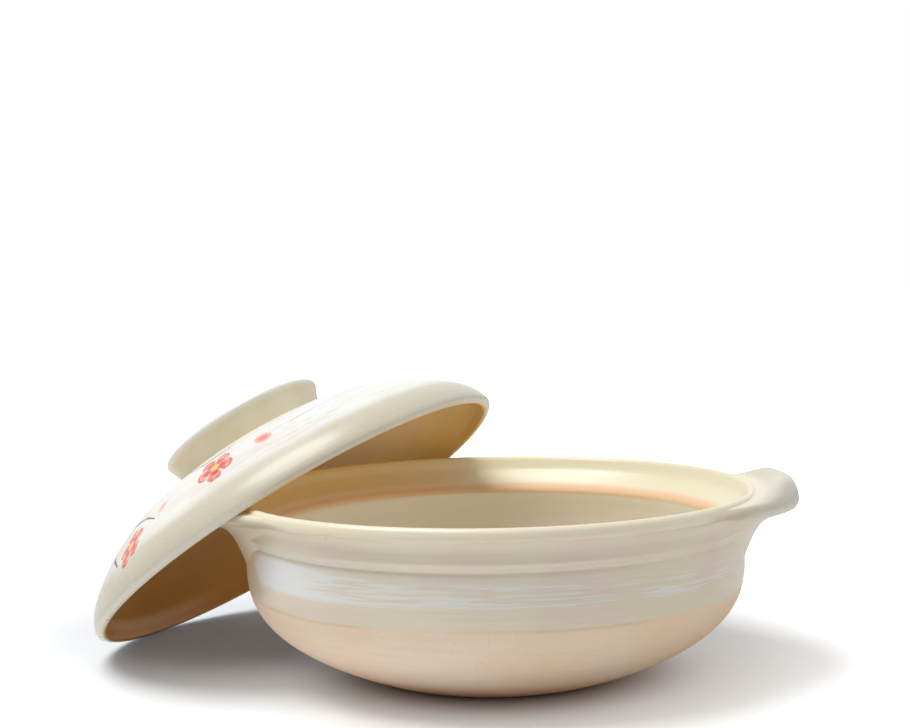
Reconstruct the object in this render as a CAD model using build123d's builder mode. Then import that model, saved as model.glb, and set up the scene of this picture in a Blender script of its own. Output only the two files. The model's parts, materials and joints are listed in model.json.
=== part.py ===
from build123d import *
import math
import os

# Donabe, a lidded stoneware cooking pot, in millimetres.
# The origin is the centre of the foot on the floor, +Z runs up the pot's axis and the two
# lug handles lie along X. The lid is off the pot: it leans on the pot's left side, with its lip
# on the floor and on the rim, and with the left handle inside its hollow.

# Pot, outside
rim_radius = 131.7
rim_height = 92.7
crest_set = 3.1
body_set = 6.9
neck_set = 0.3
neck_length = 14.6
foot_radius = 58.0
foot_width = 12.0
foot_recess = 2.5
foot_chamfer = 1.5
belly_start_slope_share = 0.30
belly_radius_shares = (0.34, 0.76, 0.945)
belly_height_shares = (0.13, 0.41, 0.66)

# Rounded lip, collar under it and groove under the collar
lip_height = 6.9
lip_undercut = 1.6
lip_crown = 0.5
crest_flat = 2.4
collar_depth = 10.2
collar_set = 4.5
collar_hollow = 0.7
groove_drop = 3.8
groove_width = 2.4
groove_depth = 0.8

# Pot, inside: rim face, sloping seat for the lid, throat and bowl
rim_face_set = 2.2
rim_face_depth = 4.0
seat_step = 2.0
seat_step_depth = 4.0
seat_width = 11.1
seat_drop = 9.2
mouth_round = 2.0
throat_depth = 6.0
body_wall = 8.0
floor_wall = 9.0
bowl_floor_radius = 50.0
bowl_radius_shares = (0.95, 0.78, 0.36)
bowl_height_shares = (0.64, 0.38, 0.09)

# Lug handles: section through the lug, then its outline from above
handle_stand_out = 21.9
handle_dip_share = 0.06
handle_dip_drop = 1.3
handle_crown_share = 0.61
handle_crown_rise = 3.7
handle_tip_rise = 0.4
handle_tip_thickness = 16.6
handle_neck_share = 0.08
handle_neck_thickness = 15.1
handle_web_drop = 19.6
handle_web_slope_share = 0.2
handle_root_set = 43.7
handle_root_half_width = 84.0
handle_reach_shares = (0, 0.244, 0.381, 0.534, 0.701, 0.854, 0.960)
handle_width_shares = (1, 0.893, 0.768, 0.643, 0.512, 0.369, 0.190)
handle_round = 5.0

# Lid
lid_clearance = 3.0
lid_wall = 6.2
dome_height = 49.5
band_height = 8.0
band_taper = 0.8
shoulder_rise = 2.2
shoulder_set = 2.0
lip_round = 2.8
lip_width = 5.8
dome_radius_shares = (0.40, 0.645, 0.863)
dome_height_shares = (0.945, 0.775, 0.48)
dome_edge_fall_share = 1.4
vent_diameter = 8.0
vent_radius_share = 0.54

# Ring knob on the lid
knob_foot_radius = 40.6
knob_flare = 5.4
knob_rise = 14.6
knob_wall = 6.2
knob_foot_wall = 8.4
knob_round = 2.2

# How the lid leans: the tilt of its axis, the bearing that the axis tips towards, measured from
# +X about +Z, how far its centre lies behind the pot's axis, and the gap that it is left
lean_tilt = 34.6
lean_bearing = 154.7
lean_back = 51.0
rest_gap = 0.3

# Cuts run on past what they cut by this much
overrun = 5.0


def between(start, end, along_shares, up_shares):
    """Outline points from start to end, at shares of the way along and of the way up."""
    return [
        (start[0] + (end[0] - start[0]) * along, start[1] + (end[1] - start[1]) * up)
        for along, up in zip(along_shares, up_shares)
    ]


os.makedirs("parts", exist_ok=True)

# Radii and heights of the bowl that follow from those sizes
crest_radius = rim_radius - crest_set
body_radius = rim_radius - body_set
neck_radius = body_radius - neck_set
collar_radius = rim_radius - collar_set
collar_height = rim_height - lip_height - collar_depth
groove_height = collar_height - groove_drop
belly_height = groove_height - groove_width / 2 - neck_length
rim_face_radius = crest_radius - rim_face_set
seat_outer_radius = rim_face_radius - seat_step
seat_outer_depth = rim_face_depth + seat_step_depth
mouth_radius = seat_outer_radius - seat_width
mouth_depth = seat_outer_depth + seat_drop

# Outline points of the bowl, as (radius, height)
foot_edge = (foot_radius, 0)
belly = (body_radius, belly_height)
neck = (neck_radius, groove_height - groove_width / 2)
groove = (neck_radius - groove_depth, groove_height)
above_groove = (neck_radius + groove_depth / 2, groove_height + groove_width / 2)
collar_low = (collar_radius, collar_height)
lip_low = (rim_radius - lip_undercut, rim_height - lip_height)
collar_middle = (
    (collar_low[0] + lip_low[0]) / 2 - collar_hollow,
    (collar_low[1] + lip_low[1]) / 2,
)
lip_side = (rim_radius, rim_height - lip_height / 2)
crest_outer = (crest_radius + crest_flat / 2, rim_height - lip_crown)
crest_inner = (crest_radius - crest_flat / 2, rim_height - lip_crown)
rim_face = (rim_face_radius, rim_height - rim_face_depth)
seat_outer = (seat_outer_radius, rim_height - seat_outer_depth)
mouth_top = (mouth_radius + mouth_round, rim_height - mouth_depth + mouth_round)
mouth_edge = (mouth_radius, rim_height - mouth_depth)
throat = (mouth_radius, rim_height - mouth_depth - throat_depth)
inner_belly = (body_radius - body_wall, belly_height)
bowl_floor = (bowl_floor_radius, foot_recess + floor_wall)

# Bowl of the pot in one turned body: foot ring, belly, groove, collar, lip, lid seat and inside
with BuildPart() as pot_body:
    with BuildSketch(Plane.XZ):
        with BuildLine():
            Polyline(
                (0, foot_recess + floor_wall),
                (0, foot_recess),
                (foot_radius - foot_width, foot_recess),
                (foot_radius - foot_width + foot_chamfer, 0),
                foot_edge,
            )
            Spline(
                foot_edge,
                *between(foot_edge, belly, belly_radius_shares, belly_height_shares),
                belly,
                tangents=[(1, belly_start_slope_share), (0, 1)],
            )
            Line(belly, neck)
            ThreePointArc(neck, groove, above_groove)
            Line(above_groove, collar_low)
            ThreePointArc(collar_low, collar_middle, lip_low)
            ThreePointArc(lip_low, lip_side, crest_outer)
            ThreePointArc(crest_outer, (crest_radius, rim_height), crest_inner)
            Line(crest_inner, rim_face)
            Line(rim_face, seat_outer)
            Line(seat_outer, mouth_top)
            TangentArc(
                mouth_top,
                mouth_edge,
                tangent=(mouth_top[0] - seat_outer[0], mouth_top[1] - seat_outer[1]),
            )
            Line(mouth_edge, throat)
            Spline(
                throat,
                inner_belly,
                *between(bowl_floor, inner_belly, bowl_radius_shares, bowl_height_shares),
                bowl_floor,
                tangents=[(0, -1), (-1, 0)],
            )
            Line(bowl_floor, (0, foot_recess + floor_wall))
        make_face()
    revolve(axis=Axis.Z)
pot_body.part.label = "pot_body"
export_step(pot_body.part, "parts/pot_body.step")

# Places on a lug handle's section
handle_reach = rim_radius + handle_stand_out
handle_web_radius = mouth_radius + body_wall / 2
handle_dip = (rim_radius + handle_dip_share * handle_stand_out, rim_height - handle_dip_drop)
handle_crown = (
    rim_radius + handle_crown_share * handle_stand_out,
    rim_height + handle_crown_rise,
)
handle_top_height = handle_crown[1] + handle_tip_rise
handle_neck = (
    rim_radius + handle_neck_share * handle_stand_out,
    rim_height - handle_neck_thickness,
)
handle_foot_height = handle_neck[1] - handle_web_drop

# Outline of a lug handle from above, from its root behind the rim to its tip and back
handle_root_reach = rim_radius - handle_root_set
handle_front = between(
    (handle_root_reach, 0),
    (handle_reach, handle_root_half_width),
    handle_reach_shares,
    handle_width_shares,
)
handle_back = [(along, -across) for along, across in reversed(handle_front)]
handle_sweep = 2 * math.degrees(
    math.atan2(handle_root_half_width, handle_root_reach - overrun)
)
handle_end = handle_reach + overrun

# Right handle: a section turned about the pot's axis, trimmed to the outline, rounded along its
# edges, cleared out of the mouth and cut to the bowl that it is luted to
with BuildPart() as handle_right:
    with BuildSketch(Plane.XZ.rotated((0, 0, -handle_sweep / 2))):
        with BuildLine():
            Polyline(
                (handle_web_radius, handle_foot_height),
                (handle_web_radius, handle_dip[1]),
                handle_dip,
            )
            Spline(
                handle_dip,
                handle_crown,
                (handle_end, handle_top_height),
                tangents=[(1, 0), (1, 0)],
            )
            handle_tip = Line(
                (handle_end, handle_top_height),
                (handle_end, handle_top_height - handle_tip_thickness),
            )
            Spline(
                handle_tip @ 1,
                handle_neck,
                tangents=[(-1, 0), (-1, -handle_web_slope_share)],
            )
            Spline(
                handle_neck,
                (handle_web_radius, handle_foot_height),
                tangents=[(-1, -handle_web_slope_share), (0, -1)],
            )
        make_face()
    revolve(axis=Axis.Z, revolution_arc=handle_sweep)
    with BuildSketch(Plane.XY):
        with BuildLine():
            handle_edge = Spline(*handle_front, (handle_reach, 0), *handle_back)
            Line(handle_back[-1], handle_front[0])
        make_face()
    extrude(amount=handle_top_height + overrun, mode=Mode.INTERSECT)
    tip_edges = handle_right.edges().filter_by(lambda edge: edge.center().X > handle_crown[0])
    fillet(tip_edges, handle_round)
    with BuildSketch(Plane.XZ):
        Polygon(
            (0, collar_height),
            (mouth_radius + body_wall, collar_height),
            (crest_radius, rim_height - lip_height),
            (crest_radius, handle_top_height + overrun),
            (0, handle_top_height + overrun),
            align=None,
        )
    revolve(axis=Axis.Z, mode=Mode.SUBTRACT)
    add(pot_body.part, mode=Mode.SUBTRACT)
handle_right.part.label = "handle_right"
export_step(handle_right.part, "parts/handle_right.step")

with BuildPart() as handle_left:
    add(handle_right.part)
    mirror(about=Plane.YZ, mode=Mode.REPLACE)
handle_left.part.label = "handle_left"
export_step(handle_left.part, "parts/handle_left.step")

# The lid drops onto the seat with this radius
lid_radius = seat_outer_radius - lid_clearance

# Outline points of the lid, as (radius, height above the plane of its lip)
dome_top = (0, dome_height)
shoulder = (lid_radius - shoulder_set, band_height + shoulder_rise)
band_top = (lid_radius, band_height)
band_low = (lid_radius - band_taper, lip_round)
lip_outer = (lid_radius - band_taper - lip_round, 0)
lip_inner = (lid_radius - lip_width + lip_round / 2, 0)
lip_corner = (lid_radius - lip_width, lip_round / 2)
inner_band = (lid_radius - lip_width, band_height)
inner_top = (0, dome_height - lid_wall)

# Dome of the lid, turned about its own axis, with the steam vent through it
with BuildPart() as dome_form:
    with BuildSketch(Plane.XZ) as lid_section:
        with BuildLine():
            Line(inner_top, dome_top)
            Spline(
                dome_top,
                *between(
                    (0, 0), (lid_radius, dome_height), dome_radius_shares, dome_height_shares
                ),
                shoulder,
                tangents=[(1, 0), (1, -dome_edge_fall_share)],
            )
            Spline(shoulder, band_top, tangents=[(1, -dome_edge_fall_share), (0, -1)])
            Line(band_top, band_low)
            TangentArc(
                band_low,
                lip_outer,
                tangent=(band_low[0] - band_top[0], band_low[1] - band_top[1]),
            )
            Line(lip_outer, lip_inner)
            TangentArc(lip_inner, lip_corner, tangent=(-1, 0))
            Line(lip_corner, inner_band)
            Spline(
                inner_band,
                *between(
                    (0, 0),
                    (lid_radius - lid_wall, dome_height - lid_wall),
                    dome_radius_shares[::-1],
                    dome_height_shares[::-1],
                ),
                inner_top,
                tangents=[(0, 1), (-1, 0)],
            )
        make_face()
    revolve(axis=Axis.Z)
    with BuildSketch(Plane.XY):
        with Locations((0, -vent_radius_share * lid_radius)):
            Circle(vent_diameter / 2)
    extrude(amount=dome_height + overrun, mode=Mode.SUBTRACT)

# Ring knob: a foot-like ring that flares upwards, turned and cut to the dome
knob_root = dome_height * dome_height_shares[0] - lid_wall / 2
knob_radius = knob_foot_radius + knob_flare
knob_height = dome_height + knob_rise
with BuildPart() as ring_form:
    with BuildSketch(Plane.XZ):
        Polygon(
            (knob_foot_radius - knob_foot_wall, knob_root),
            (knob_foot_radius, knob_root),
            (knob_foot_radius, dome_height - lid_wall),
            (knob_radius, knob_height),
            (knob_radius - knob_wall, knob_height),
            (knob_foot_radius - knob_foot_wall, dome_height - lid_wall),
            align=None,
        )
    revolve(axis=Axis.Z)
    fillet(ring_form.faces().sort_by(Axis.Z)[-1].edges(), knob_round)
    add(dome_form.part, mode=Mode.SUBTRACT)


# Directions of the leaning lid: out through its knob, and down across its lip
tilt, bearing = math.radians(lean_tilt), math.radians(lean_bearing)
knob_way = Vector(
    math.sin(tilt) * math.cos(bearing), math.sin(tilt) * math.sin(bearing), math.cos(tilt)
)
downhill = Vector(
    math.cos(tilt) * math.cos(bearing), math.cos(tilt) * math.sin(bearing), -math.sin(tilt)
)
lean_height = lip_outer[0] * math.sin(tilt) + lip_round * (1 - math.cos(tilt))

# Where the lid can meet the pot: lines along the middle of the rounded rim and of the rounded top
# edge of the left handle, each with its rounding
rim_round = lip_height / 2
rim_line = [
    Vector(rim_radius - rim_round, 0, rim_height - rim_round).rotate(Axis.Z, turn)
    for turn in range(90, 270, 2)
]
tip_line = []
for step in range(1, 60):
    edge_way = handle_edge % (step / 60)
    inward = Vector(edge_way.Y, -edge_way.X, 0) * handle_round
    edge_point = handle_edge @ (step / 60) + inward
    risen = (edge_point.length - handle_dip[0]) / (handle_crown[0] - handle_dip[0])
    edge_height = handle_dip[1] + (handle_crown[1] - handle_dip[1]) * min(max(risen, 0), 1)
    if edge_point.length > crest_radius:
        tip_line.append(Vector(-edge_point.X, edge_point.Y, edge_height - handle_round))
lid_outline = lid_section.sketch_local.face().outer_wire()


def lean_gap(out):
    """Smallest gap between those lines' rounded edges and the lid, with its centre out along -X."""
    gaps = []
    for line, rounding in ((rim_line, rim_round), (tip_line, handle_round)):
        for point in line:
            arm = point - Vector(-out, lean_back, lean_height)
            rise = arm.dot(knob_way)
            across = math.sqrt(max(arm.length**2 - rise**2, 0))
            gaps.append(lid_outline.distance_to(Vertex(across, rise, 0)) - rounding)
    return min(gaps)


# The lid slides towards the pot until it is the rest gap away
lean_out = handle_reach
while (way_left := lean_gap(lean_out) - rest_gap) > rest_gap / 10:
    lean_out -= way_left
seat = Plane((-lean_out, lean_back, lean_height), x_dir=downhill, z_dir=knob_way).location

with BuildPart() as lid_dome:
    add(dome_form.part.moved(seat))
lid_dome.part.label = "lid_dome"
export_step(lid_dome.part, "parts/lid_dome.step")

with BuildPart() as lid_knob_ring:
    add(ring_form.part.moved(seat))
lid_knob_ring.part.label = "lid_knob_ring"
export_step(lid_knob_ring.part, "parts/lid_knob_ring.step")
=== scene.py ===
import json
import math

import bmesh
import bpy
from mathutils import Matrix, Quaternion, Vector


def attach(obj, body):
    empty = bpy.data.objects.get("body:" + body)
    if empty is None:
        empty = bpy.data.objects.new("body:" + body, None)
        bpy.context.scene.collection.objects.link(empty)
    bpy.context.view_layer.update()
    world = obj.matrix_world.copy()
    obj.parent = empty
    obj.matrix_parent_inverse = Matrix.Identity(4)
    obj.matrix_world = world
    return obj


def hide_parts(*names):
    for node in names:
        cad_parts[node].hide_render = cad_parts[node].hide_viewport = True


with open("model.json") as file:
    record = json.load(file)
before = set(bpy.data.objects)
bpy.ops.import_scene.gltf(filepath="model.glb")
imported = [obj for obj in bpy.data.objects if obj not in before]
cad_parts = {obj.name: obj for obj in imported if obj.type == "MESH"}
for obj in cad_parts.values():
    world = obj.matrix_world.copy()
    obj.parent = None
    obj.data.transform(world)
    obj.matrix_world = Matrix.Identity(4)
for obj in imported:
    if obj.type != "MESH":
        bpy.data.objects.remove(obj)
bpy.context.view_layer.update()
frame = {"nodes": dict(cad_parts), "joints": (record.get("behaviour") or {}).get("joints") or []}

# Outlines are in millimetres, as the potter would measure them, and the meshes are in metres
MM = 0.001

# Camera: where it stands and the point that it looks at, in metres, its roll and its lens
camera_place = Vector((0, -0.8703, 0.2135))
camera_aim = Vector((-0.0182, 0, 0.1553))
camera_roll = math.radians(-1.21)
camera_lens = 68.67

# How finely the turned pieces and the lugs are divided, and how near points are merged
weld = 0.001
turned_steps = 256
outline_steps = 6
lug_columns = 128
# Keeps a point that is given twice in an outline from dividing by nothing
least_span = 1e-6

# Pot, from the foot up the outside to the crest of the lip, as strokes of (radius, height)
pot_under = [(0, 2.6), (45.5, 2.6)]
pot_foot_inside = [(45.5, 2.6), (46.6, 0.8), (48.4, 0.05)]
pot_foot = [(48.4, 0.05), (57.2, 0.05)]
pot_wall = [
    (57.2, 0.05), (60.6, 0.75), (68.4, 3.2), (81, 8), (95.8, 15.2), (108.5, 23.6), (117.4, 32.6),
    (122.4, 41.8), (124.5, 51), (124.8, 58), (124.6, 64), (124.5, 70.3),
]
pot_groove = [(124.5, 70.3), (124.1, 71.1), (123.8, 71.8), (124.2, 72.6), (124.9, 73.3)]
pot_collar_edge = [(124.9, 73.3), (125.3, 74.2), (126.3, 75), (127.0, 76.1)]
pot_collar = [(127.0, 76.1), (126.7, 78.6), (126.9, 81.6), (128.1, 84.3), (129.8, 85.9)]
pot_lip = [
    (129.8, 85.9), (130.9, 86.6), (131.5, 88.1), (131.5, 89.7), (131.0, 91.3), (129.8, 92.4),
    (128.6, 92.68),
]

# Pot, from the crest down the inside
pot_lip_inside = [(128.6, 92.68), (127.4, 92.2), (126.6, 91.0), (125.9, 89.3), (125.2, 87.6)]
pot_ledge = [(125.2, 87.6), (124.4, 86.0), (123.2, 84.4), (121.4, 82.5)]
pot_seat = [(121.4, 82.5), (115.3, 77.4)]
pot_mouth = [(115.3, 77.4), (114.1, 76.4), (113.35, 75.2), (113.3, 73.6), (113.6, 71.4)]
pot_inside = [
    (113.6, 71.4), (115.2, 65), (116.8, 56), (116.4, 49), (113.5, 40), (102.1, 28.4), (86, 19.8),
    (70, 14.6), (50, 11.8), (26, 11.5), (0, 11.5),
]

# Lug handle: rows from inside the lip, over the lug and back under it into the wall. Each row has
# its place at the middle of the lug (radius, height), the place in the bowl's wall that it starts
# from, how many degrees each side it spreads, and how gently it rises from the bowl
lug_section = [
    (128.6, 90.2, 128.6, 90.2, 45, 2.0),
    (129.3, 91.5, 129.3, 91.5, 45, 2.0),
    (130.4, 92.0, 129.8, 91.6, 45, 2.0),
    (131.9, 92.1, 130.5, 91.1, 44, 2.0),
    (134.4, 92.2, 130.8, 90.8, 42, 1.9),
    (137.9, 93.6, 131.0, 90.6, 40, 1.8),
    (141.4, 96.2, 131.0, 90.5, 38, 1.6),
    (144.8, 97.3, 131.0, 90.4, 38, 1.6),
    (147.8, 96.6, 131.1, 90.2, 38, 1.6),
    (150.1, 94.1, 131.1, 89.8, 38, 1.6),
    (151.7, 90.8, 131.1, 89.0, 38, 1.6),
    (152.5, 87.4, 131.0, 88.0, 38, 1.6),
    (152.4, 84.6, 130.5, 87.0, 38, 1.6),
    (151.0, 82.0, 129.4, 86.0, 38, 1.7),
    (148.2, 80.2, 128.2, 84.8, 38, 2.0),
    (143.8, 79.0, 127.2, 83.4, 38, 2.0),
    (138.8, 77.6, 126.6, 82.0, 37, 2.0),
    (134.2, 74.6, 125.8, 80.2, 34, 1.7),
    (130.9, 70.4, 124.8, 77.4, 31, 1.35),
    (128.5, 65.6, 123.0, 73.0, 28, 1.1),
    (126.6, 61.2, 122.4, 68.6, 26, 1.0),
    (125.2, 58.0, 123.4, 64.0, 23, 1.0),
    (123.8, 55.8, 123.6, 60.0, 18, 1.0),
    (121.0, 58.0, 121.0, 62.0, 18, 1.0),
    (120.0, 74.0, 120.0, 74.0, 45, 2.0),
    (128.6, 90.2, 128.6, 90.2, 45, 2.0),
]
# Degrees each side of its middle that the lug's grid covers, and steps from one row to the next
lug_sweep = 45
lug_steps = 4
# The lug's top is at its full height up to the inner angle each side of its middle, and level with
# the lip beyond the outer one
lug_lift_inner = 8
lug_lift_outer = 23

# Lid, as strokes of (radius, height above the plane of its lip), from the top of the dome
lid_dome = [
    (0, 49.45), (20, 49.1), (39, 47.9), (58.7, 44.4), (78.3, 38.7), (92.5, 31.7), (103.8, 24.0),
    (111.2, 17.9), (116.0, 12.8), (118.7, 8.8), (120.2, 5.4), (120.8, 3.4),
]
lid_lip_outside = [(120.8, 3.4), (120.7, 2.2), (119.6, 0.9), (118, 0.02)]
lid_lip = [(118, 0.02), (116.9, 0.1)]
lid_lip_inside = [(116.9, 0.1), (116.1, 0.5), (115.7, 1.6)]
lid_inside = [
    (115.7, 1.6), (114.6, 6.2), (111.4, 11.8), (99.4, 21.6), (74.3, 33.6), (46.1, 40.9),
    (20, 42.9), (0, 43.3),
]

# Steam vent, on the lid's side away from the camera
vent_radius = 4.0
vent_out = 65.6

# Ring knob, as strokes of (radius, height above the plane of the lid's lip)
knob_outside = [(40.9, 45.8), (40.9, 47.8), (41.4, 50), (43.3, 56), (45.2, 60.6)]
knob_edge = [(45.2, 60.6), (45.9, 62.2), (45.4, 63.6), (43.9, 64.08)]
knob_top = [(43.9, 64.08), (41.6, 64.0)]
knob_edge_inside = [(41.6, 64.0), (40.3, 63.4), (39.4, 62)]
knob_inside = [(39.4, 62), (36.6, 55.5), (34.1, 50.4), (32.6, 48.6), (32.2, 46.5)]
knob_foot = [(32.2, 46.5), (36.5, 45.6), (40.9, 45.8)]


def smooth_line(points, steps):
    """Points along a smooth line through the given points, with their other values blended."""
    if len(points) == 2:
        return [Vector(points[0]), Vector(points[1])]
    knots = [Vector(point) for point in points]
    knots = [2 * knots[0] - knots[1], *knots, 2 * knots[-1] - knots[-2]]
    line = [knots[1]]
    for before, start, end, after in zip(knots, knots[1:], knots[2:], knots[3:]):
        span = (end - start).length
        leave = (end - before) * span / max(span + (start - before).length, least_span)
        arrive = (after - start) * span / max(span + (after - end).length, least_span)
        for step in range(1, steps + 1):
            t = step / steps
            line.append(
                start * (2 * t**3 - 3 * t**2 + 1)
                + leave * (t**3 - 2 * t**2 + t)
                + end * (3 * t**2 - 2 * t**3)
                + arrive * (t**3 - t**2)
            )
    return line


def outline(strokes):
    """One list of points through the strokes, which meet at their ends."""
    points = []
    for stroke in strokes:
        points += smooth_line(stroke, outline_steps)[1 if points else 0:]
    return points


def finished(name, shape, body, nodes, material, place=Matrix()):
    """Makes the piece's object, in metres and in place, ties it to its body and hides the nodes it
    replaces.
    """
    bmesh.ops.recalc_face_normals(shape, faces=shape.faces)
    bmesh.ops.transform(shape, matrix=place @ Matrix.Scale(MM, 4), verts=shape.verts)
    mesh = bpy.data.meshes.new(name)
    shape.to_mesh(mesh)
    shape.free()
    mesh.shade_smooth()
    mesh.materials.append(material)
    piece = bpy.data.objects.new(name, mesh)
    bpy.context.scene.collection.objects.link(piece)
    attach(piece, body)
    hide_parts(*nodes)


def turned(strokes, inside_from=None):
    """A body of revolution about Z. Points past inside_from strokes get the attribute inside."""
    shape = bmesh.new()
    inside = shape.verts.layers.float.new("inside")
    verts = []
    for point in outline(strokes):
        verts.append(shape.verts.new((point[0], 0, point[1])))
    if inside_from is not None:
        first = len(outline(strokes[:inside_from])) - 1
        for vert in verts[first:]:
            vert[inside] = 1
    edges = [shape.edges.new(pair) for pair in zip(verts, verts[1:])]
    bmesh.ops.spin(
        shape,
        geom=verts + edges,
        cent=(0, 0, 0),
        axis=(0, 0, 1),
        angle=2 * math.pi,
        steps=turned_steps,
        use_merge=True,
    )
    bmesh.ops.remove_doubles(shape, verts=shape.verts, dist=weld)
    return shape


def lug(side):
    """A lug handle on the +X side (1) or the -X side (-1): a grid bent round the section."""
    rows = smooth_line(lug_section, lug_steps)
    shape = bmesh.new()
    bmesh.ops.create_grid(shape, x_segments=len(rows) - 1, y_segments=lug_columns, size=0.5)
    for vert in shape.verts:
        row = rows[round((vert.co.x + 0.5) * (len(rows) - 1))]
        radius, height, root_radius, root_height, spread, gentle = row
        turn = vert.co.y * 2 * lug_sweep
        reach = math.cos(math.pi / 2 * min(abs(turn) / spread, 1)) ** gentle
        lift = reach
        if height > root_height:
            share = (abs(turn) - lug_lift_inner) / (lug_lift_outer - lug_lift_inner)
            lift = (1 + math.cos(math.pi * min(max(share, 0), 1))) / 2
        radius = root_radius + (radius - root_radius) * reach
        height = root_height + (height - root_height) * lift
        angle = math.radians(turn)
        vert.co = (side * radius * math.cos(angle), radius * math.sin(angle), height)
    bmesh.ops.remove_doubles(shape, verts=shape.verts, dist=weld)
    bmesh.ops.holes_fill(shape, edges=shape.edges)
    return shape


def pierce(shape, profiles):
    """The vent: a round hole through both skins of the dome, on the side away from the camera."""
    centre = Vector((0, -vent_out))
    inside = shape.verts.layers.float["inside"]
    inner = [
        face for face in shape.faces
        if (face.calc_center_median().xy - centre).length < vent_radius
    ]
    bmesh.ops.delete(shape, geom=inner, context="FACES")
    rim = [edge for edge in shape.edges if edge.is_boundary]
    for vert in {vert for edge in rim for vert in edge.verts}:
        vert.co.xy = centre + (vert.co.xy - centre).normalized() * vent_radius
        vert.co.z = height_at(profiles[round(vert[inside])], vert.co.xy.length)
    bmesh.ops.bridge_loops(shape, edges=rim)
    loose = [vert for vert in shape.verts if not vert.link_faces]
    bmesh.ops.delete(shape, geom=loose, context="VERTS")


def height_at(profile, radius):
    """The height of a turned profile at a radius."""
    line = sorted((point[0], point[1]) for point in smooth_line(profile, outline_steps))
    for (near, low), (far, high) in zip(line, line[1:]):
        if near <= radius <= far:
            return low + (high - low) * (radius - near) / (far - near)
    return line[-1][1]


class Wire:
    """A socket of a finish. Ordinary maths on it adds the Math nodes."""

    def __init__(self, finish, socket):
        self.finish = finish
        self.socket = socket

    def maths(self, operation, *values):
        return self.finish.node("ShaderNodeMath", {"operation": operation}, values)

    def __add__(self, other):
        return self.maths("ADD", self, other)

    def __sub__(self, other):
        return self.maths("SUBTRACT", self, other)

    def __rsub__(self, other):
        return self.maths("SUBTRACT", other, self)

    def __mul__(self, other):
        return self.maths("MULTIPLY", self, other)

    def __truediv__(self, other):
        return self.maths("DIVIDE", self, other)

    def __rtruediv__(self, other):
        return self.maths("DIVIDE", other, self)

    def __pow__(self, other):
        return self.maths("POWER", self, other)

    __radd__ = __add__
    __rmul__ = __mul__

    def most(self, other):
        return self.maths("MAXIMUM", self, other)

    def least(self, other):
        return self.maths("MINIMUM", self, other)

    def absolute(self):
        return self.maths("ABSOLUTE", self)

    def bearing(self, y):
        """Degrees round from this axis towards y."""
        return self.maths("ARCTAN2", y, self) * math.degrees(1)

    def cosine(self):
        return self.maths("COSINE", self)

    def rises(self, low, high):
        """0 below low and 1 above high, smooth between. Low may be the larger one."""
        if low > high:
            return 1 - self.rises(high, low)
        return self.finish.node(
            "ShaderNodeMapRange",
            {"interpolation_type": "SMOOTHSTEP"},
            {"Value": self, "From Min": low, "From Max": high},
        )

    def between(self, low, high, soft):
        """1 from low to high and 0 beyond, over soft each side of both."""
        return self.rises(low - soft, low + soft) * self.rises(high + soft, high - soft)


def across(x, y):
    """How far the place x, y is from 0, 0."""
    return (x * x + y * y) ** 0.5


def tone(red, green, blue):
    """A colour of 0 to 255 each as a shader socket takes it, by the sRGB formula."""
    parts = []
    for value in (red / 255, green / 255, blue / 255):
        parts.append(value / 12.92 if value <= 0.04045 else ((value + 0.055) / 1.055) ** 2.4)
    return (*parts, 1.0)


# Colours of the glazes, the clay, the paint and the floor, as they are in even white light, and of
# the light and shade painted onto them
glaze_ivory = tone(234, 224, 202)
glaze_ivory_deep = tone(228, 217, 192)
glaze_blush = tone(232, 212, 200)
glaze_grey = tone(222, 215, 196)
glaze_stone = tone(208, 202, 186)
glaze_olive = tone(214, 196, 150)
lug_side_shade = tone(178, 166, 136)
slip_white = tone(238, 240, 240)
slip_shadow = tone(176, 178, 176)
blue_sheen = tone(186, 192, 204)
clay_pink = tone(244, 224, 204)
clay_tan = tone(240, 212, 182)
clay_low_shade = tone(226, 178, 132)
lip_crest_highlight = tone(243, 233, 206)
lip_tan = tone(206, 182, 142)
clay_speck = tone(205, 165, 132)
clay_foot_shade = tone(150, 96, 66)
clay_seat = tone(244, 222, 194)
clay_seat_shade = tone(236, 198, 156)
bowl_buff = tone(247, 241, 225)
bowl_buff_deep = tone(243, 235, 217)
seat_cream = tone(238, 230, 200)
seat_shade_gold = tone(230, 200, 142)
glaze_cream = tone(238, 236, 227)
glaze_cream_deep = tone(230, 226, 212)
under_amber = tone(233, 184, 98)
under_lit_gold = tone(238, 202, 118)
under_brown = tone(220, 165, 82)
knob_wall_shade = tone(230, 218, 190)
knob_wall_shade_deep = tone(222, 208, 174)
blossom_pink = tone(250, 172, 148)
blossom_red = tone(230, 92, 80)
blossom_deep = tone(184, 44, 40)
blossom_line = tone(140, 44, 34)
blossom_heart = tone(248, 196, 88)
bud_pink = tone(228, 92, 108)
twig_green = tone(44, 42, 28)
lid_edge_shade = tone(198, 190, 166)
floor_white = tone(246, 246, 246)
floor_seen = tone(230, 230, 230)
floor_cool = (0, 0.034, 0.062, 1)
white = (1, 1, 1, 1)
black = (0, 0, 0, 1)

# Where the noise of a finish is taken, so that one pattern doesn't repeat another
blush_shift = (0.9, 0.4, 0.2)
mottle_shift = (0.3, 0.1, 0.7)

# Where the pot's finishes change, in millimetres. A pair goes from none of it to all of it
foot_contact_shade = (2.2, 1.0)
clay_low_shade_height = (16, 3)
glaze_begins = (44.6, 47.2)
olive_line = (45.0, 46.4)
slip_foot = (54.4, 57.6)
slip_top = (67.5, 64.5)
haze_and_highlight_foot = (53, 58)
wall_ends = (126.6, 125.2)
crest_highlight_begins = (85.8, 87.4)
under_bead_line = (86.1, 86.8)
lug_begins = (131.5, 138)
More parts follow.
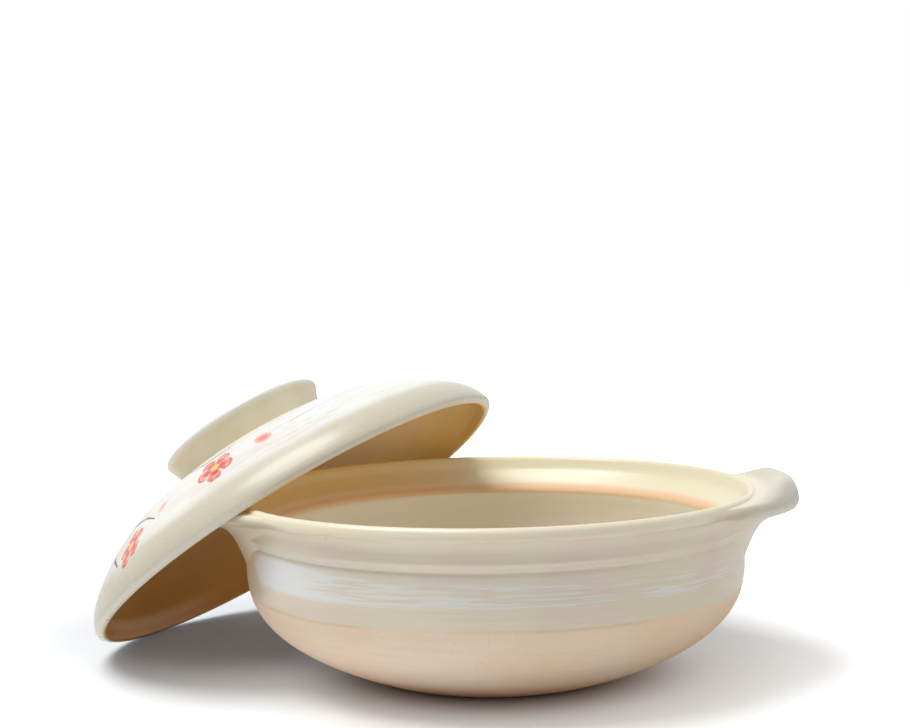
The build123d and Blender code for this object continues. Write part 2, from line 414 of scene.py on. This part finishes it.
# The painted shade under the lip beside the lugs: how far along X it lies, how high, and from which
# radius
lug_shade_along = (98, 121)
lug_shade_up = (83.6, 88.4)
lug_shade_begins = (129, 130)
bare_inner = (112.4, 113.6)
bare_outer = (119.0, 116.0)
bare_above = (73, 74.5)
bare_shade_inward = (118, 114)
seat_begins = (70, 78)
seat_shade_golden = (30, -90)

# The white slip changes between these bearings round the pot, in degrees. Its start reaches
# furthest back at its middle height, in millimetres
slip_thick = (-118, -144)
slip_fuller = (-25, -130)
slip_start = (-160, -155)
slip_middle = 64

# Where the lid's finishes and the knob's change, in millimetres out from the middle, up, or down
# the slope
swept_out = (52, 112)
swept_along = (60, -30)
marks_out = (84, 112)
marks_along = (-90, -30)
edge_shade_begins = (109.5, 115.5)
lip_highlight_below = (3.8, 2.2)
blue_sheen_along = (84, 106)
blue_sheen_above = (3, 9)
lit_gold_along = (10, -90)
# No stroke is drawn out round the lid's very top
calm_middle = 24
knob_highlight_above = (59.2, 62.4)

# Painted plum branch on the dome, in millimetres down the slope and towards the camera. A blossom
# or bud has its place and size, then its turn in degrees or its strength. A brush stroke has its
# start, end and width, loses the taper's share of its width on the way, and has a soft edge
petal_count = 5
vein_count = 20
brush_taper = 0.55
brush_edge = (1.25, 0.75)
blossoms = [
    ((70.0, 50.0), 9.8, 60),
    ((22.0, 63.5), 9.0, 25),
    ((26.5, 102.8), 9.4, 10),
    ((-30.0, 89.8), 10.8, 40),
]
buds = [((-54.5, 77.4), 4.6, 0.9), ((4.0, 95.5), 3.6, 0.5), ((46.0, 60.0), 4.2, 0.9)]
twigs = [
    ((76.0, 44.0), (62.0, 64.0), 2.2),
    ((62.0, 64.0), (46.0, 77.0), 1.8),
    ((46.0, 77.0), (30.0, 85.0), 1.3),
    ((30.0, 85.0), (17.5, 92.5), 1.0),
    ((17.5, 92.5), (8.2, 100.4), 0.7),
    ((55.0, 70.0), (48.5, 91.0), 1.1),
    ((48.5, 91.0), (39.0, 104.5), 1.0),
    ((62.0, 64.0), (36.0, 62.0), 1.6),
    ((36.0, 62.0), (8.0, 67.0), 1.3),
    ((8.0, 67.0), (-18.0, 79.5), 1.0),
    ((-18.0, 79.5), (-33.5, 74.0), 0.9),
]
grey_strokes = [((54.0, 92.0), (63.5, 100.5), 1.5), ((-65.6, 66.2), (-83.8, 38.0), 0.7)]

# The floor's own light, which fades the shadow out, in millimetres from the shadow's middle or
# from the middle of the foot
shade_centre = (-150, 100)
shade_middle = (60, 140)
shade_edge = (245, 455)
foot_shade = (58, 110)
cool_within = (420, 100)
cool_from_foot = (60, 120)

# The studio, in metres: each lamp's name, place, size and power in watts
floor_half_width = 6
sky_light = 0.31
lamp_aim = Vector((0, 0, 0.05))
lamps = [("key", (-0.6, -0.14, 1.55), 1.1, 22), ("fill", (1.75, -0.15, 0.6), 1.4, 4)]

# A Mix node's sockets for colours go by number, because those for numbers have the same names
mix_share = 0
mix_first = 6
mix_second = 7
mix_result = 2


class Finish:
    """A material or the backdrop being made: its shader and the nodes that feed it."""

    def __init__(self, owner, shader="Principled BSDF"):
        owner.use_nodes = True
        self.owner = owner
        self.tree = owner.node_tree
        self.shader = self.tree.nodes[shader]

    def node(self, kind, settings=None, inputs=(), output=0):
        """A node with its settings, and its sockets by name or in order. Gives one output."""
        made = self.tree.nodes.new(kind)
        for name, value in (settings or {}).items():
            setattr(made, name, value)
        pairs = inputs.items() if isinstance(inputs, dict) else enumerate(inputs)
        for key, value in pairs:
            if isinstance(value, Wire):
                self.tree.links.new(value.socket, made.inputs[key])
            else:
                made.inputs[key].default_value = value
        return Wire(self, made.outputs[output])

    def feed(self, name, value):
        """Sets a socket of the shader, or links it."""
        if isinstance(value, Wire):
            self.tree.links.new(value.socket, self.shader.inputs[name])
        else:
            self.shader.inputs[name].default_value = value

    def coordinates(self):
        return self.node("ShaderNodeTexCoord", output="Object")

    def turned_coordinates(self, centre, turn):
        """The coordinates in a frame with this centre and turn."""
        return self.node(
            "ShaderNodeMapping",
            {"vector_type": "TEXTURE"},
            {"Vector": self.coordinates(), "Location": centre, "Rotation": turn},
        )

    def inside(self):
        """1 on a turned piece's inside and 0 on its outside."""
        mark = self.node("ShaderNodeAttribute", {"attribute_name": "inside"}, output="Fac")
        return mark.rises(0.4, 0.6)

    def axes(self, vector):
        """The vector's three parts, in millimetres."""
        return [self.node("ShaderNodeSeparateXYZ", {}, (vector,), part) / MM for part in "XYZ"]

    def noise(self, vector, scale, detail=2.0, shift=(0, 0, 0)):
        """Noise of 0 to 1, with about scale forms to a metre."""
        place = self.node("ShaderNodeMapping", {}, {"Vector": vector, "Location": shift})
        return self.node(
            "ShaderNodeTexNoise", {}, {"Vector": place, "Scale": scale, "Detail": detail}
        )

    def rounds(self, east, north, height, around, up):
        """Noise drawn out round the axis. Its forms are finer the more around and up are."""
        place = self.node(
            "ShaderNodeCombineXYZ", {}, (east * around, north * around, height * up)
        )
        return self.node("ShaderNodeTexNoise", {}, {"Vector": place, "Scale": 1.0, "Detail": 3.0})

    def mix(self, share, first, second):
        """The first colour where share is 0 and the second where it is 1."""
        values = {mix_share: share, mix_first: first, mix_second: second}
        return self.node("ShaderNodeMix", {"data_type": "RGBA"}, values, mix_result)

    def bump(self, height, strength, distance):
        values = {"Strength": strength, "Distance": distance, "Height": height}
        self.feed("Normal", self.node("ShaderNodeBump", {}, values))

    def line(self, x, y, start, end, width):
        """A painted line from start to end, thinner towards its end."""
        along = Vector(end) - Vector(start)
        from_x, from_y = x - start[0], y - start[1]
        share = (from_x * along.x + from_y * along.y) / along.length_squared
        share = share.most(0).least(1)
        off_x, off_y = from_x - share * along.x, from_y - share * along.y
        return (across(off_x, off_y) / (width * (1 - share * brush_taper))).rises(*brush_edge)


def pot_finish():
    """Ivory glaze with brushed white slip, down to bare clay, and a bare band on the seat."""
    pot = Finish(bpy.data.materials.new("ivory_glaze_on_pink_clay"))
    where = pot.coordinates()
    x, y, z = pot.axes(where)
    radius = across(x, y)
    turn = x.bearing(y)
    inside = pot.inside()

    cloud = pot.noise(where, 14, 3)
    blush = pot.noise(where, 26, 2, blush_shift)
    mottle = pot.noise(where, 70, 4, mottle_shift)
    speck = pot.noise(where, 1100, 1)
    wander = (cloud - 0.5) * 4
    rings = pot.rounds(x / radius, y / radius, z + wander * 0.5, 2, 0.42)
    brush = pot.rounds(x / radius, y / radius, z + wander * 0.7, 4.5, 0.95)

    # Ivory glaze, greyer on the lugs, with a painted highlight on the crest of the lip
    ivory = pot.mix(cloud.rises(0.35, 0.7), glaze_ivory, glaze_ivory_deep)
    ivory = pot.mix(blush.rises(0.45, 0.7) * 0.6, ivory, glaze_blush)
    ivory = pot.mix(rings.rises(0.5, 0.75) * 0.6, ivory, glaze_grey)
    lug = radius.rises(*lug_begins)
    ivory = pot.mix(lug * 0.7, ivory, glaze_stone)
    crest_highlight = (z + wander * 0.4).rises(*crest_highlight_begins) * (1 - lug)
    ivory = pot.mix(crest_highlight * 0.8, ivory, lip_crest_highlight)
    # Painted shade under the lip beside the lugs, where the lip's underside faces down
    beside_lug_shade = x.absolute().between(*lug_shade_along, 6) * z.between(*lug_shade_up, 1.2)
    beside_lug_shade = beside_lug_shade * radius.rises(*lug_shade_begins)
    ivory = pot.mix(beside_lug_shade * 0.55, ivory, lug_side_shade)
    # A tan line along the lower edge of the lip's bead
    under_bead = (z + (mottle - 0.5) * 5).between(*under_bead_line, 0.6) * cloud.rises(0.45, 0.6)
    ivory = pot.mix(under_bead * 0.5, ivory, lip_tan)

    # White slip brushed round the wall, solid near the left handle and thin at the right; near the
    # left handle its white is partly a painted highlight
    wall = radius.rises(*wall_ends)
    dense = turn.rises(*slip_thick) * 0.65 + turn.rises(*slip_fuller) * 0.35
    begins = (turn - (z - slip_middle).absolute() * 0.5 + wander).rises(*slip_start)
    band = (z + wander * 0.9).rises(*slip_foot) * (z - dense * 5).rises(*slip_top)
    lines = (brush + dense * 0.32).rises(0.53, 0.64)
    slip = lines * band * (0.55 + dense * 0.4) * begins
    haze_and_highlight = dense * 0.3 * begins * (z + wander).rises(*haze_and_highlight_foot)
    slip = slip.most(haze_and_highlight) * wall
    glazed = pot.mix(slip, ivory, slip_white)

    # Bare clay up to the line of the glaze
    clay = pot.mix(cloud.rises(0.3, 0.75), clay_pink, clay_tan)
    # Painted shade: the clay darkens and turns more orange towards the foot
    clay = pot.mix((z + wander).rises(*clay_low_shade_height), clay, clay_low_shade)
    clay = pot.mix(rings.rises(0.45, 0.7) * 0.35, clay, clay_tan)
    clay = pot.mix(speck.rises(0.62, 0.72) * 0.2, clay, clay_speck)
    # Painted contact shade along the foot's bottom edge, where it meets the floor
    clay = pot.mix((z + wander * 0.2).rises(*foot_contact_shade) * 0.7, clay, clay_foot_shade)
    level = z + wander * 0.35 + (blush - 0.5) * 2
    edge = level.rises(*glaze_begins)
    outside = pot.mix(edge, clay, glazed)
    olive = level.between(*olive_line, 0.5) * blush.rises(0.4, 0.55)
    outside = pot.mix(olive * 0.5, outside, glaze_olive)

    # Inside, buff glaze in the bowl, cream on the ledge and a bare band where the lid sits
    rough = radius + wander * 0.25
    bare = rough.rises(*bare_inner) * rough.rises(*bare_outer) * z.rises(*bare_above)
    # Painted shade on the bare band, deeper towards the mouth's rounded edge
    bare_clay = pot.mix(radius.rises(*bare_shade_inward), clay_seat, clay_seat_shade)
    bowl = pot.mix(cloud.rises(0.3, 0.7), bowl_buff, bowl_buff_deep)
    # Painted shade and amber light cast by the lid, on the left of the ledge under it
    seat = pot.mix(x.rises(*seat_shade_golden) * 0.8, seat_cream, seat_shade_gold)
    seat = pot.mix(z.rises(*seat_begins), bowl, seat)
    seat = pot.mix(bare, seat, bare_clay)
    pot.feed("Base Color", pot.mix(inside, outside, seat))

    matt = ((1 - edge) * (1 - inside) + bare * inside).least(1)
    pot.feed("Roughness", 0.3 + matt * 0.45 + (mottle - 0.5) * 0.12 + slip * 0.06)
    pot.bump(rings * 0.6 + mottle * 0.3 + speck * 0.12 * matt + slip * 0.25, 0.22, 0.0012)
    return pot.owner


def blossom(lid, x, y, dab, under, centre, size, turned_by):
    """A painted plum blossom over the glaze, with petals, their outlines, veins and a heart."""
    from_x, from_y = x - centre[0], y - centre[1]
    out = across(from_x, from_y)
    round_it = (from_x.bearing(from_y) + turned_by) * math.radians(1)
    lobe = (round_it * (petal_count / 2)).cosine().absolute()
    spoke = (round_it * vein_count).cosine()
    share = out / (size * (0.62 + lobe ** 0.55 * 0.38)) + (dab - 0.5) * 0.14
    petal = lid.mix((dab + share * 0.25).rises(0.55, 0.85), blossom_red, blossom_pink)
    shaded = share.between(0.36, 0.58, 0.1) * dab.rises(0.42, 0.6)
    petal = lid.mix(shaded, petal, blossom_deep)
    petal = lid.mix(share.between(0.88, 0.98, 0.05) * 0.6, petal, blossom_line)
    parting = lobe.rises(0.26, 0.1) * share.rises(0.3, 0.45)
    petal = lid.mix(parting * 0.8, petal, under)
    vein = spoke.rises(0.3, 0.8) * share.between(0.3, 0.62, 0.06)
    petal = lid.mix(vein * 0.6, petal, blossom_line)
    petal = lid.mix(out.rises(size * 0.28, size * 0.18), petal, blossom_heart)
    return lid.mix(share.rises(1.04, 0.97), under, petal)


def lid_finish(centre, turn):
    """Cream glaze with brushed slip and plum blossoms outside, amber brown inside."""
    lid = Finish(bpy.data.materials.new("cream_glaze_with_blossoms"))
    local = lid.turned_coordinates(centre, turn)
    x, y, h = lid.axes(local)
    out = across(x, y)
    inside = lid.inside()
    cloud = lid.noise(local, 12, 3)
    blush = lid.noise(local, 26, 2, blush_shift)
    mottle = lid.noise(local, 60, 4, mottle_shift)
    east, north = x / out.most(calm_middle), y / out.most(calm_middle)
    brush = lid.rounds(east, north, out + (cloud - 0.5) * 12, 3, 0.32)
    lines = lid.rounds(east, north, out + (cloud - 0.5) * 9, 2.2, 0.8)

    # Cream glaze with slip swept round it, and painted shade where the edge rounds down
    cream = lid.mix(cloud.rises(0.35, 0.7), glaze_cream, glaze_cream_deep)
    cream = lid.mix(blush.rises(0.5, 0.75) * 0.4, cream, glaze_blush)
    swept = brush.rises(0.42, 0.6) * (out + (cloud - 0.5) * 20).between(*swept_out, 6)
    swept = swept * (x + (blush - 0.5) * 60).rises(*swept_along)
    cream = lid.mix(swept * 0.8, cream, slip_white)
    marks = lines.between(0.5, 0.53, 0.012) * out.between(*marks_out, 3)
    marks = marks * x.between(*marks_along, 12)
    cream = lid.mix(marks * 0.45, cream, slip_shadow)
    edge = (out + (cloud - 0.5) * 6).rises(*edge_shade_begins)
    cream = lid.mix(edge * 0.8, cream, lid_edge_shade)
    # Painted highlight along the lip, where it catches the light from the floor
    cream = lid.mix(h.rises(*lip_highlight_below) * 0.5, cream, glaze_cream)
    # Painted bluish sheen along the lid's lower outline
    cream = lid.mix(x.rises(*blue_sheen_along) * h.rises(*blue_sheen_above) * 0.35, cream, blue_sheen)

    # Painted branch, twigs first and blossoms over them
    painted = cream
    for start, end, width in grey_strokes:
        painted = lid.mix(lid.line(x, y, start, end, width) * 0.6, painted, slip_shadow)
    for start, end, width in twigs:
        painted = lid.mix(lid.line(x, y, start, end, width) * 0.9, painted, twig_green)
    dab = lid.noise(local, 330, 2)
    for place, size, turned_by in blossoms:
        painted = blossom(lid, x, y, dab, painted, place, size, turned_by)
    for place, size, strength in buds:
        share = across(x - place[0], y - place[1]) / size + (dab - 0.5) * 0.5
        bud = lid.mix(share.rises(0.3, 0.8), bud_pink, blossom_pink)
        painted = lid.mix(share.rises(1.1, 0.9) * strength, painted, bud)

    # Amber underside, with painted light making it golden at its raised end
    under = lid.mix(cloud.rises(0.3, 0.7), under_amber, under_brown)
    under = lid.mix(x.rises(*lit_gold_along) * 0.8, under, under_lit_gold)
    lid.feed("Base Color", lid.mix(inside, painted, under))
    lid.feed("Roughness", 0.28 + (mottle - 0.5) * 0.12 + inside * 0.06)
    lid.bump(mottle * 0.4 + swept * 0.2, 0.15, 0.001)
    return lid.owner


def knob_finish(centre, turn):
    """Cream glaze, painted as khaki shade on the ring's wall and with a painted highlight on its top
    edge.
    """
    knob = Finish(bpy.data.materials.new("knob_glaze_painted_shade"))
    local = knob.turned_coordinates(centre, turn)
    h = knob.axes(local)[2]
    cloud = knob.noise(local, 30, 3)
    mottle = knob.noise(local, 80, 4)
    wall = knob.mix(cloud.rises(0.35, 0.7), knob_wall_shade, knob_wall_shade_deep)
    wall = knob.mix((h + (cloud - 0.5) * 2).rises(*knob_highlight_above), wall, glaze_cream)
    knob.feed("Base Color", wall)
    knob.feed("Roughness", 0.32 + (mottle - 0.5) * 0.14)
    knob.bump(mottle, 0.12, 0.001)
    return knob.owner


def floor_finish():
    """White floor whose far parts fade into the white background, with neutral shadows."""
    floor = Finish(bpy.data.materials.new("pale_floor"))
    x, y = floor.axes(floor.coordinates())[:2]
    seen = floor.node("ShaderNodeLightPath", output="Is Camera Ray")
    away = across(x - shade_centre[0], y - shade_centre[1])
    from_foot = across(x, y)
    floor.feed("Base Color", floor.mix(seen, floor_white, floor_seen))
    floor.feed("Roughness", 1.0)
    floor.feed("Specular IOR Level", 0.0)
    glow = away.rises(*shade_middle) * 0.2 * from_foot.rises(*foot_shade)
    glow = glow + away.rises(*shade_edge) * 0.8
    # The little blue cancels what the clay and the amber glaze cast into their shadows
    cool = away.rises(*cool_within) * from_foot.rises(*cool_from_foot)
    cool = floor.mix(cool, black, floor_cool)
    glow = floor.mix(glow, cool, white)
    floor.feed("Emission Color", floor.mix(seen, black, glow))
    floor.feed("Emission Strength", 1.0)
    return floor.owner


def lid_place():
    """The lid's own frame, read from its node: X down its slope, Y towards the camera, Z its lift."""
    lift = frame["joints"][0]
    axis = Vector(lift["axis"]).normalized()
    side = axis.cross(Vector((0, 0, 1))).normalized()
    if side.y > 0:
        side = -side
    down = side.cross(axis)
    points = [vert.co for vert in frame["nodes"]["lid_dome"].data.vertices]
    sideways = [point.dot(side) for point in points]
    downhill = [point.dot(down) for point in points]
    lip_height = min(point.dot(axis) for point in points)
    centre = (
        side * (min(sideways) + max(sideways)) / 2
        + down * (min(downhill) + max(downhill)) / 2
        + axis * lip_height
    )
    turn = Matrix((down, side, axis)).transposed()
    return centre, turn


def studio():
    """Camera, pale floor, white background and soft light."""
    camera = bpy.data.objects.new("camera", bpy.data.cameras.new("camera"))
    camera.data.lens = camera_lens
    camera.location = camera_place
    look = (camera_aim - camera_place).to_track_quat("-Z", "Y")
    camera.rotation_mode = "QUATERNION"
    camera.rotation_quaternion = look @ Quaternion((0, 0, 1), camera_roll)
    bpy.context.scene.collection.objects.link(camera)
    bpy.context.scene.camera = camera

    shape = bmesh.new()
    bmesh.ops.create_grid(shape, x_segments=2, y_segments=2, size=floor_half_width)
    mesh = bpy.data.meshes.new("floor")
    shape.to_mesh(mesh)
    shape.free()
    mesh.materials.append(floor_finish())
    floor = bpy.data.objects.new("floor", mesh)
    bpy.context.scene.collection.objects.link(floor)

    # The white background is full where the camera or a reflection sees it, and dimmer as light
    backdrop = Finish(bpy.data.worlds.new("studio"), "Background")
    bpy.context.scene.world = backdrop.owner
    seen = backdrop.node("ShaderNodeLightPath", output="Is Camera Ray")
    mirrored = backdrop.node("ShaderNodeLightPath", output="Is Glossy Ray")
    backdrop.feed("Color", white)
    backdrop.feed("Strength", sky_light + seen.most(mirrored) * (1 - sky_light))

    for name, place, size, watts in lamps:
        lamp = bpy.data.objects.new(name, bpy.data.lights.new(name, "AREA"))
        lamp.data.shape = "DISK"
        lamp.data.size = size
        lamp.data.energy = watts
        lamp.location = place
        lamp.rotation_mode = "QUATERNION"
        lamp.rotation_quaternion = (lamp_aim - lamp.location).to_track_quat("-Z", "Y")
        bpy.context.scene.collection.objects.link(lamp)


def make_pot():
    """The turned bowl and its two lug handles."""
    glaze = pot_finish()
    strokes = [
        pot_under, pot_foot_inside, pot_foot, pot_wall, pot_groove, pot_collar_edge, pot_collar,
        pot_lip, pot_lip_inside, pot_ledge, pot_seat, pot_mouth, pot_inside,
    ]
    bowl = turned(strokes, inside_from=strokes.index(pot_lip_inside))
    finished("bowl", bowl, "pot", ["pot_body"], glaze)
    for name, side in (("handle_right", 1), ("handle_left", -1)):
        finished("lug_" + name, lug(side), "pot", [name], glaze)


def make_lid():
    """The turned dome with its vent, and the ring knob on it."""
    centre, turn = lid_place()
    place = Matrix.Translation(centre) @ turn.to_4x4()
    strokes = [lid_dome, lid_lip_outside, lid_lip, lid_lip_inside, lid_inside]
    dome = turned(strokes, inside_from=strokes.index(lid_lip_inside))
    pierce(dome, (lid_dome, lid_inside))
    glaze = lid_finish(centre, turn.to_euler())
    finished("dome", dome, "lid", ["lid_dome"], glaze, place)
    ring = turned([knob_outside, knob_edge, knob_top, knob_edge_inside, knob_inside, knob_foot])
    glaze = knob_finish(centre, turn.to_euler())
    finished("knob_ring", ring, "lid", ["lid_knob_ring"], glaze, place)


make_pot()
make_lid()
studio()
bpy.context.scene.view_settings.view_transform = "Standard"
